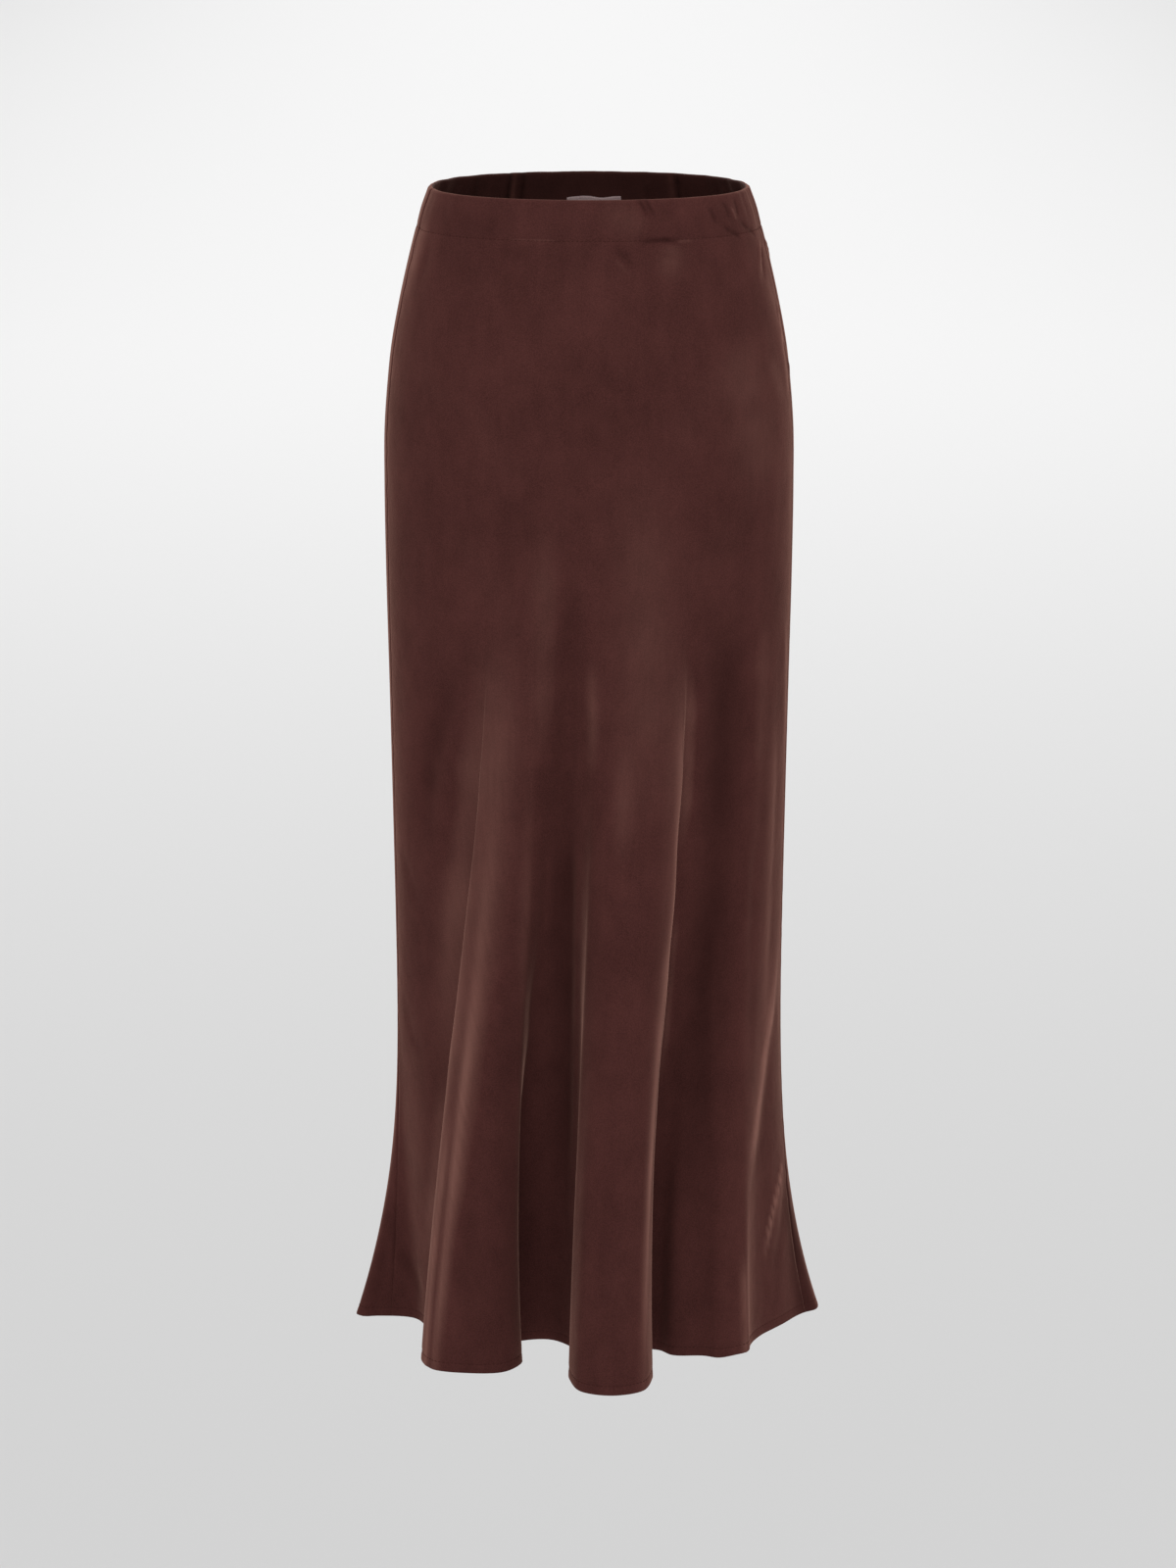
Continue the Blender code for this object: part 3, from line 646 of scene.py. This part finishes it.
def ripples(girth, drop):
    """Fine upright ripples that the elastic makes, uneven and stronger in the back."""
    chance = random.Random(RIPPLE_SEED)
    height = np.zeros(girth.shape)
    upper = drop < 2 * RIPPLE_LENGTH[1]
    walked = WALK.at(girth[upper] % 1.0, STITCH_DROP)
    whole = float(WALK.at(1.0, STITCH_DROP))
    total = np.zeros(len(walked))
    for n in range(RIPPLES):
        place = (n + chance.uniform(-RIPPLE_SHIFT, RIPPLE_SHIFT)) / RIPPLES
        tall = chance.uniform(*RIPPLE_HEIGHT) * chance.choice((-1, 1))
        width, length = chance.uniform(*RIPPLE_WIDTH), chance.uniform(*RIPPLE_LENGTH)
        behind = ease((0.5 - abs(place - 0.75)) / 0.5)
        tall *= 1 + (BACK_RIPPLES - 1) * behind
        away = (walked / whole - place + 0.5) % 1.0 - 0.5
        total += tall * np.exp(-(away * whole / width) ** 2) * (1 - ease(drop[upper] / length))
    height[upper] = total
    return height


def band(drop, middle, width):
    """1 along a level line, fading to both sides."""
    return np.exp(-((drop - middle) / width) ** 2)


def seam_puckers(girth, drop):
    """Short uneven puckers beside the side seams."""
    height = np.zeros(girth.shape)
    for seam, phase in ((LEFT, 0.4), (RIGHT, 2.1)):
        near = girth - np.round(girth - seam)
        away = WALK.between(seam, near, drop)
        wave = np.sin(2 * np.pi * drop / SEAM_PUCKER_STEP + phase + 1.3 * np.sin(17 * drop))
        wave = wave * (0.55 + 0.45 * np.sin(31 * drop + phase))
        height += SEAM_PUCKER * wave * np.exp(-(away / SEAM_PUCKER_REACH) ** 2)
    fade = ease(drop / SEAM_PUCKER_FADE) * ease((LENGTH - drop) / SEAM_PUCKER_FADE)
    return height * fade


def relief(girth, drop):
    """How far the face stands out from the smooth cloth, and how much light or shade is painted on
    it.
    """
    girth, drop = np.broadcast_arrays(girth, drop)
    height, nap = np.zeros(girth.shape), np.zeros(girth.shape)
    for own in ALL_CREASES:
        shape = crease(girth, drop, own)
        height += own["height"] / 1000 * shape
        nap += own["nap"] * shape
    swell = np.clip(drop / STITCH_DROP, 0, 1)
    height += CASING_SWELL * np.sin(np.pi * swell) ** 2
    uneven = 1 + 0.35 * np.sin(girth * 190) * np.sin(girth * 77 + 1)
    height -= STITCH_GROOVE * uneven * band(drop, STITCH_DROP, GROOVE_WIDTH)
    height -= HEM_GROOVE * uneven * band(drop, LENGTH - HEM_STITCH, GROOVE_WIDTH)
    height += ripples(girth, drop) + seam_puckers(girth, drop)
    return height, nap


def outward(girth, drop):
    """The level directions that point straight out of the smooth cloth."""
    along = cloth(girth + TANGENT_STEP, drop) - cloth(girth - TANGENT_STEP, drop)
    across = np.stack((along[..., 1], -along[..., 0], np.zeros(along.shape[:-1])), axis=-1)
    return across / np.linalg.norm(across, axis=-1, keepdims=True)


def place_cloth(girth, drop, lay):
    """Points of the cloth with its creases, moved in by lay, and the painted light and shade
    there.
    """
    height, nap = relief(girth, drop)
    return cloth(girth, drop) + outward(girth, drop) * (height - lay)[..., None], nap


def thick(path, thickness):
    """A second path, thickness to the right of a path walked down the outer face."""
    steps = np.gradient(path, axis=0)
    steps = steps / np.linalg.norm(steps, axis=1, keepdims=True)
    return path + thickness * np.stack((steps[:, 1], -steps[:, 0]), axis=-1)


def bend(lay, drop, across, down, first, last, count):
    """Lay and drop round a bend, from its first to its last angle in degrees."""
    turn = np.radians(np.linspace(first, last, count))
    return np.stack((lay + across * (1 - np.cos(turn)), drop + down * np.sin(turn)), axis=-1)


def straight(lay, first, last, count):
    """Lay and drop down a straight line, without its first point."""
    drops = np.linspace(first, last, count)[1:]
    return np.stack((np.full(len(drops), lay), drops), axis=-1)


def panel_path():
    """Lay and drop down a panel: over the waist edge, down the face, round the hem, up inside."""
    rows = PANEL_ROWS
    turning, hem = LENGTH - HEM_DEPTH - HEM_ROWS_ABOVE, LENGTH - HEM_ROLL
    return np.concatenate((
        bend(0.0, ROLL, ROLL, -ROLL, ROLL_SPLIT, 0, rows["crest"]),
        straight(0.0, ROLL, FINE_DROP, rows["fine"]),
        straight(0.0, FINE_DROP, HIP_DROP, rows["hip"]),
        straight(0.0, HIP_DROP, turning, rows["body"]),
        straight(0.0, turning, hem, rows["hem"]),
        bend(0.0, hem, HEM_ROLL, HEM_ROLL, 0, 180, rows["fold"])[1:],
        straight(2 * HEM_ROLL, hem, LENGTH - HEM_DEPTH, rows["turning"])))


def casing_path():
    """Lay and drop up the casing: from its turned lower edge to its seam at the waist edge."""
    rows, lowest = CASING_ROWS, CASING_DEPTH - CASING_FOLD
    return np.concatenate((
        bend(0.0, ROLL, ROLL, -ROLL, ROLL_SPLIT + SPLIT_GAP, 180, rows["crest"]),
        straight(CASING_LAY, ROLL, lowest, rows["face"]),
        bend(CASING_LAY, lowest, -CASING_FOLD, CASING_FOLD, 0, 180, rows["fold"])[1:]))[::-1]


def columns_between(first, last, count):
    """Girths of columns, even between hem and waist taken together, closer at both seams."""
    fine = np.linspace(first, last, 4000)
    walked = WALK.at(fine, LENGTH) + WAIST_SHARE * WALK.at(fine, CASING_DEPTH)
    start, end = walked[0], walked[-1]
    close = np.array(EDGE_COLUMNS)
    even = np.linspace(start + EDGE_WIDTH, end - EDGE_WIDTH, count - 2 * len(close) + 1)
    places = np.concatenate((start + close, even, end - close[::-1]))
    return np.interp(places, walked, fine)


def add(name, data):
    """A new object in the scene."""
    made = bpy.data.objects.new(name, data)
    bpy.context.scene.collection.objects.link(made)
    return made


def sheet_mesh(name, outer, inner, uv, nap, materials):
    """A closed thin sheet from an outer and an inner grid, with the cloth's own map."""
    rows, columns = outer.shape[:2]
    count = rows * columns
    points = np.concatenate((outer.reshape(-1, 3), inner.reshape(-1, 3)))
    index = np.arange(count).reshape(rows, columns)
    quads = np.stack((index[:-1, :-1], index[1:, :-1], index[1:, 1:], index[:-1, 1:]), axis=-1)
    front = quads.reshape(-1, 4)
    back = front[:, ::-1] + count
    rim = np.concatenate((index[0, :], index[1:, -1], index[-1, -2::-1], index[-2:0:-1, 0]))
    following = np.roll(rim, -1)
    sides = np.stack((rim, following, following + count, rim + count), axis=-1)
    faces = np.concatenate((front, back, sides))
    mesh = bpy.data.meshes.new(name)
    mesh.vertices.add(len(points))
    mesh.vertices.foreach_set("co", points.astype(np.float32).ravel())
    mesh.loops.add(faces.size)
    mesh.loops.foreach_set("vertex_index", faces.astype(np.int32).ravel())
    mesh.polygons.add(len(faces))
    mesh.polygons.foreach_set("loop_start", np.arange(0, faces.size, 4, dtype=np.int32))
    slots = np.zeros(len(faces), np.int32)
    slots[len(front):2 * len(front)] = len(materials) - 1
    mesh.polygons.foreach_set("material_index", slots)
    layer = mesh.uv_layers.new(name="cloth")
    pair = np.concatenate((uv.reshape(-1, 2), uv.reshape(-1, 2)))
    layer.data.foreach_set("uv", pair[faces.ravel()].astype(np.float32).ravel())
    # each point's painted highlight and painted shade, which the satin reads
    light = mesh.attributes.new("nap", "FLOAT", "POINT")
    light.data.foreach_set("value", np.tile(nap.ravel(), 2).astype(np.float32))
    mesh.update(calc_edges=True)
    mesh.validate()
    mesh.shade_smooth()
    for item in materials:
        mesh.materials.append(item)
    return add(name, mesh)


def cloth_map(girths, path):
    """The cloth's own flat measures: metres across from the middle, and metres down."""
    down = np.concatenate(([0.0], np.cumsum(np.linalg.norm(np.diff(path, axis=0), axis=1))))
    girth, drop = np.meshgrid(girths, path[:, 1])
    across = WALK.between((girths[0] + girths[-1]) / 2, girth, drop)
    return np.stack((across, np.repeat(down[:, None], len(girths), axis=1)), axis=-1)


def hang(name, girths, path, thickness, materials, dip=SEAM_DEPTH, wave=None):
    """A sheet that follows a path down the skirt between two girths."""
    grids = []
    for line in (path, thick(path, thickness)):
        girth, drop = np.meshgrid(girths, line[:, 1])
        lay = line[:, :1]
        away = WALK.at(girth, drop)
        away = np.minimum(away - away[:, :1], away[:, -1:] - away)
        lay = lay + dip * (1 - ease(away / SEAM_WIDTH)) * ease((LENGTH - drop) / SEAM_FADE)
        if wave is not None:
            loose, sag = wave(girth, drop)
            lay, drop = lay - loose, drop + sag
        points, nap = place_cloth(girth, drop, lay)
        grids.append(points)
    return sheet_mesh(name, grids[0], grids[1], cloth_map(girths, path), nap, materials)


def stitches(name, first, last, drop, finish):
    """A row of stitches along the skirt at one drop, as one joined mesh."""
    fine = np.linspace(first, last, 6000)
    walked = WALK.at(fine, drop)
    count = int((walked[-1] - walked[0]) / STITCH_PITCH)
    starts = walked[0] + (np.arange(count) + 0.5) * (walked[-1] - walked[0]) / count
    shares, rises = np.array(STITCH_ARCH).T
    girth = np.interp((starts[:, None] + shares * STITCH_LENGTH).ravel(), walked, fine)
    level = np.full(girth.shape, float(drop))
    out, up = outward(girth, level), np.array((0.0, 0.0, 1.0))
    middle = place_cloth(girth, level, 0.0)[0] + out * np.tile(rises * THREAD, count)[:, None]
    ring = [middle + THREAD * (math.cos(a) * out + math.sin(a) * up)
            for a in (math.pi / 4 + k * math.pi / 2 for k in range(THREAD_SIDES))]
    points = np.stack(ring, axis=1).reshape(count, len(shares), THREAD_SIDES, 3)
    faces = []
    for start in range(0, (len(shares) - 1) * THREAD_SIDES, THREAD_SIDES):
        for k in range(THREAD_SIDES):
            m = (k + 1) % THREAD_SIDES
            faces.append((start + k, start + m, start + THREAD_SIDES + m,
                          start + THREAD_SIDES + k))
    faces += [(3, 2, 1, 0), (12, 13, 14, 15)]
    each = THREAD_SIDES * len(shares)
    faces = (np.array(faces)[None] + np.arange(count)[:, None, None] * each).reshape(-1, 4)
    mesh = bpy.data.meshes.new(name)
    mesh.from_pydata(points.reshape(-1, 3).tolist(), [], faces.tolist())
    mesh.shade_smooth()
    mesh.materials.append(finish)
    piece = add(name, mesh)
    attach(piece, "root")
    return piece


def linear(colour):
    """An sRGB colour in 0 to 255 as linear red, green, blue and full alpha."""
    return (*[(c / 255 / 12.92) if c < 11 else ((c / 255 + 0.055) / 1.055) ** 2.4
              for c in colour], 1.0)


class Finish:
    """Builds one material's nodes."""

    def __init__(self, name):
        self.material = bpy.data.materials.new(name)
        self.material.use_nodes = True
        self.tree = self.material.node_tree
        self.shader = self.tree.nodes["Principled BSDF"]

    def node(self, kind, **settings):
        """A node with its inputs and settings; _ stands for a space in an input's name."""
        made = self.tree.nodes.new(kind)
        for key, value in settings.items():
            socket = key.replace("_", " ")
            if socket in made.inputs:
                made.inputs[socket].default_value = value
            else:
                setattr(made, key, value)
        return made

    def link(self, source, target):
        self.tree.links.new(source, target)

    def feed(self, sockets, values):
        """Gives each socket its value: another node's output, or a constant."""
        for socket, value in zip(sockets, values):
            if isinstance(value, (int, float, tuple)):
                socket.default_value = value
            else:
                self.link(value, socket)

    def mapped(self, source, scale, turn=0.0):
        mapping = self.node("ShaderNodeMapping", Scale=scale, Rotation=(0, 0, math.radians(turn)))
        self.link(source, mapping.inputs["Vector"])
        return mapping.outputs["Vector"]

    def place(self, scale=(1, 1, 1)):
        """The piece's own coordinates in metres, stretched."""
        return self.mapped(self.node("ShaderNodeTexCoord").outputs["Object"], scale)

    def weave_place(self, scale=(1, 1, 1), turn=0.0):
        """The cloth's own flat map in metres, stretched and turned."""
        return self.mapped(self.node("ShaderNodeUVMap", uv_map="cloth").outputs["UV"], scale, turn)

    def spread(self, value, start, end, kind="LINEAR"):
        """0 to 1 while a value runs from start to end."""
        made = self.node("ShaderNodeMapRange", interpolation_type=kind, From_Min=start,
                         From_Max=end)
        self.link(value, made.inputs["Value"])
        return made.outputs["Result"]

    def noise(self, vector, scale, detail=2.0, start=0.3, end=0.7):
        """Noise, spread from start..end to 0..1."""
        made = self.node("ShaderNodeTexNoise", Scale=scale, Detail=detail)
        self.link(vector, made.inputs["Vector"])
        return self.spread(made.outputs["Fac"], start, end)

    def bands(self, vector, direction, **settings):
        """Fine bands that run across one direction."""
        made = self.node("ShaderNodeTexWave", wave_type="BANDS", bands_direction=direction,
                         **settings)
        self.link(vector, made.inputs["Vector"])
        return made.outputs["Fac"]

    def maths(self, operation, first, second=0.0):
        """A sum of two values; each is a socket or a number."""
        made = self.node("ShaderNodeMath", operation=operation)
        self.feed(made.inputs, (first, second))
        return made.outputs["Value"]

    def blend(self, share, first, second):
        """A mix of two colours; each is a socket or linear values."""
        made = self.node("ShaderNodeMix", data_type="RGBA")
        self.feed((made.inputs["Factor"], made.inputs[6], made.inputs[7]), (share, first, second))
        return made.outputs[2]

    def colour(self, source):
        self.link(source, self.shader.inputs["Base Color"])

    def clamped(self, value):
        """A value held between 0 and 1."""
        made = self.node("ShaderNodeClamp")
        self.link(value, made.inputs["Value"])
        return made.outputs["Result"]

    def bump(self, heights):
        """Bumps laid on each other: pairs of a height socket and metres of height."""
        normal = None
        for height, distance in heights:
            made = self.node("ShaderNodeBump", Strength=1.0, Distance=distance)
            self.link(height, made.inputs["Height"])
            if normal is not None:
                self.link(normal, made.inputs["Normal"])
            normal = made.outputs["Normal"]
        self.link(normal, self.shader.inputs["Normal"])

    def set(self, **values):
        for name, value in values.items():
            self.shader.inputs[name.replace("_", " ")].default_value = value


def satin(name, dark, light, painted_highlight, roughness, sheen, gloss):
    """Sand-washed satin: mottled colour, a peach-skin grain and a soft tinted sheen, with painted
    highlights and painted shade from a point attribute.
    """
    made = Finish(name)
    clouds = made.noise(made.place(), 16.0, 3.0, 0.36, 0.66)
    patches = made.noise(made.place((1, 1, 0.6)), 70.0, 3.0, 0.34, 0.68)
    streaks = made.noise(made.weave_place((300, 26, 1)), 1.0, 3.0, 0.32, 0.70)
    grain = made.noise(made.place(), 1150.0, 1.0, 0.30, 0.70)
    share = made.maths("MULTIPLY", clouds, MOTTLE["clouds"])
    for part, kind in ((patches, "patches"), (streaks, "streaks"), (grain, "grain")):
        share = made.maths("ADD", share, made.maths("MULTIPLY", part, MOTTLE[kind]))
    plain = made.blend(share, linear(dark), linear(light))
    # the attribute read here paints highlights where it is positive and shade where it is negative
    nap = made.node("ShaderNodeAttribute", attribute_name="nap").outputs["Fac"]
    broken = made.maths("ADD", made.maths("MULTIPLY", streaks, BROKEN_HIGHLIGHTS),
                        1.0 - BROKEN_HIGHLIGHTS / 2)
    highlight_share = made.clamped(made.maths("MULTIPLY", nap, broken))
    # how far the colour is darkened as painted shade
    flat = made.clamped(made.maths("MULTIPLY", nap, -1.0))
    with_highlights = made.blend(highlight_share, plain, linear(painted_highlight))
    # the colour of the painted shade: the dark colour dimmed
    painted_shade = tuple(channel * PAINTED_SHADE_SHARE for channel in linear(dark)[:3]) + (1.0,)
    made.colour(made.blend(flat, with_highlights, painted_shade))
    rough = made.maths("ADD", made.maths("MULTIPLY", patches, ROUGH_PATCHES),
                       made.maths("MULTIPLY", streaks, ROUGH_STREAKS))
    middle = (ROUGH_PATCHES + ROUGH_STREAKS) / 2
    made.link(made.maths("ADD", rough, roughness - middle), made.shader.inputs["Roughness"])
    twill = made.bands(made.weave_place(turn=TWILL_TURN), "X", Scale=260.0, Distortion=2.0,
                       Detail=1.0)
    soft = made.noise(made.place((1, 1, 0.7)), 42.0, 2.0)
    made.bump(((soft, SOFT_BUMP), (patches, PATCH_BUMP), (twill, TWILL_BUMP), (grain, GRAIN_BUMP)))
    made.set(Sheen_Weight=sheen, Sheen_Roughness=0.35, Sheen_Tint=linear(SHEEN_TINT),
             Specular_IOR_Level=gloss, Specular_Tint=linear(GLOSS_TINT))
    return made.material


def thread():
    """The sewing thread, dyed to match the cloth."""
    made = Finish("thread")
    twist = made.noise(made.place(), 2400.0, 1.0)
    made.colour(made.blend(twist, *map(linear, THREAD_COLOURS)))
    made.set(Roughness=0.6, Specular_IOR_Level=0.0)
    return made.material


def tape():
    """The label's plain woven tape."""
    made = Finish("label_tape")
    warp = made.noise(made.weave_place((2600, 300, 1)), 1.0, 2.0)
    weft = made.bands(made.weave_place(), "Y", Scale=700.0)
    made.colour(made.blend(warp, *map(linear, LABEL_COLOURS)))
    made.bump(((weft, 0.00008), (warp, 0.00005)))
    made.set(Roughness=0.5, Sheen_Weight=0.2)
    return made.material


def look(piece, node):
    """Ties a piece to the model: it moves with it and stands for its solid, which is hidden."""
    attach(piece, "root")
    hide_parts(node)


def build_skirt():
    """Both panels and casing halves, with their stitches."""
    outside, inside = (satin(**row) for row in records(SATINS, SATIN_COLUMNS))
    sewing = thread()
    for name, first, last in (("front", LEFT, RIGHT), ("back", RIGHT, LEFT + 1)):
        girths = columns_between(first + SEAM_GAP / 2, last - SEAM_GAP / 2, PANEL_COLUMNS[name])
        panel = hang(name + "_panel_cloth", girths, panel_path(), CLOTH, (outside, inside))
        look(panel, name + "_panel")
        # the casing shows the satin's right side but wears the darker inside satin, as painted
        # shade
        casing = hang("waist_casing_" + name + "_cloth", girths, casing_path(), CLOTH, (inside,))
        look(casing, "waist_casing_" + name)
        for row, drop in (("casing", STITCH_DROP), ("hem", LENGTH - HEM_STITCH)):
            stitches(name + "_" + row + "_stitches", girths[0], girths[-1], drop,
                             sewing)


def build_label():
    """The blank label, slightly wavy, sewn inside the middle of the back."""
    girths = np.linspace(RIGHT, LEFT + 1, 3000)
    x = cloth(girths, np.full_like(girths, LABEL_TOP))[:, 0]
    sides = [LABEL_CENTRE + side * LABEL_WIDTH / 2 for side in (1, -1)]
    first, last = np.interp([-side for side in sides], -x, girths)
    own = np.linspace(first, last, LABEL_GRID[0])
    drops = np.linspace(LABEL_TOP, LABEL_TOP + LABEL_LENGTH, LABEL_GRID[1])
    path = np.stack((np.full(len(drops), LABEL_LAY + TAPE), drops), axis=-1)

    def wave(girth, drop):
        across = (girth - first) / (last - first)
        down = (drop - LABEL_TOP) / LABEL_LENGTH
        loose = LABEL_LOOSE * np.sin(2 * np.pi * across * LABEL_WAVES + 0.6) * (0.4 + down)
        sag = LABEL_SAG - LABEL_WAVE * np.cos(2 * np.pi * (across / SAG_LENGTH - 1))
        return loose - LABEL_BEND * down ** 2, sag

    piece = hang("waist_label_tape", own, path[::-1], TAPE, (tape(),), 0.0, wave)
    look(piece, "waist_label")


def area_light(name, place, target, size, power):
    data = bpy.data.lights.new(name, "AREA")
    data.shape = "RECTANGLE"
    data.size, data.size_y = size
    data.energy = power
    lamp = add(name, data)
    lamp.location = place
    lamp.rotation_euler = (Vector(target) - Vector(place)).to_track_quat("-Z", "Y").to_euler()


def build_studio():
    scene = bpy.context.scene
    scene.view_settings.view_transform = "Standard"
    world = bpy.data.worlds.new("studio")
    world.use_nodes = True
    world.node_tree.nodes["Background"].inputs["Color"].default_value = (1.0, 1.0, 1.0, 1.0)
    world.node_tree.nodes["Background"].inputs["Strength"].default_value = 1.0
    scene.world = world
    for row in records(LIGHTS, LIGHT_COLUMNS):
        area_light(**row)
    mesh = bpy.data.meshes.new("floor")
    corners = [(-1, -1), (1, -1), (1, 1), (-1, 1)]
    mesh.from_pydata([(x * FLOOR_REACH, y * FLOOR_REACH, FLOOR_HEIGHT) for x, y in corners], [],
                     [(0, 1, 2, 3)])
    # the floor's colour paints light and shade by distance and to the sides
    made = Finish("studio_floor")
    across = made.node("ShaderNodeSeparateXYZ")
    made.link(made.place(), across.inputs["Vector"])
    side = made.maths("MULTIPLY", across.outputs["X"], across.outputs["X"])
    along = made.maths("MULTIPLY", across.outputs["Y"], across.outputs["Y"])
    distance = made.maths("SQRT", made.maths("ADD", side, along))
    falloff = made.maths("MINIMUM", made.maths("MULTIPLY", side, SIDE_FALLOFF), MOST_FALLOFF)
    share = made.maths("SUBTRACT", made.spread(distance, *FLOOR_BLEND, "SMOOTHSTEP"), falloff)
    grey = made.blend(share, FLOOR_GREY, FLOOR_PALE)
    white = made.spread(distance, *HORIZON, "SMOOTHSTEP")
    made.colour(made.blend(white, grey, (1.0, 1.0, 1.0, 1)))
    made.set(Roughness=0.9, Specular_IOR_Level=0.1)
    mesh.materials.append(made.material)
    floor = add("floor", mesh)


def build_camera():
    data = bpy.data.cameras.new("camera")
    data.sensor_width = 36.0
    data.lens = CAMERA_LENS
    camera = add("camera", data)
    camera.location = CAMERA_PLACE
    camera.rotation_euler = (math.radians(90 - CAMERA_PITCH), 0.0, 0.0)
    bpy.context.scene.camera = camera


build_camera()
build_studio()
build_skirt()
build_label()
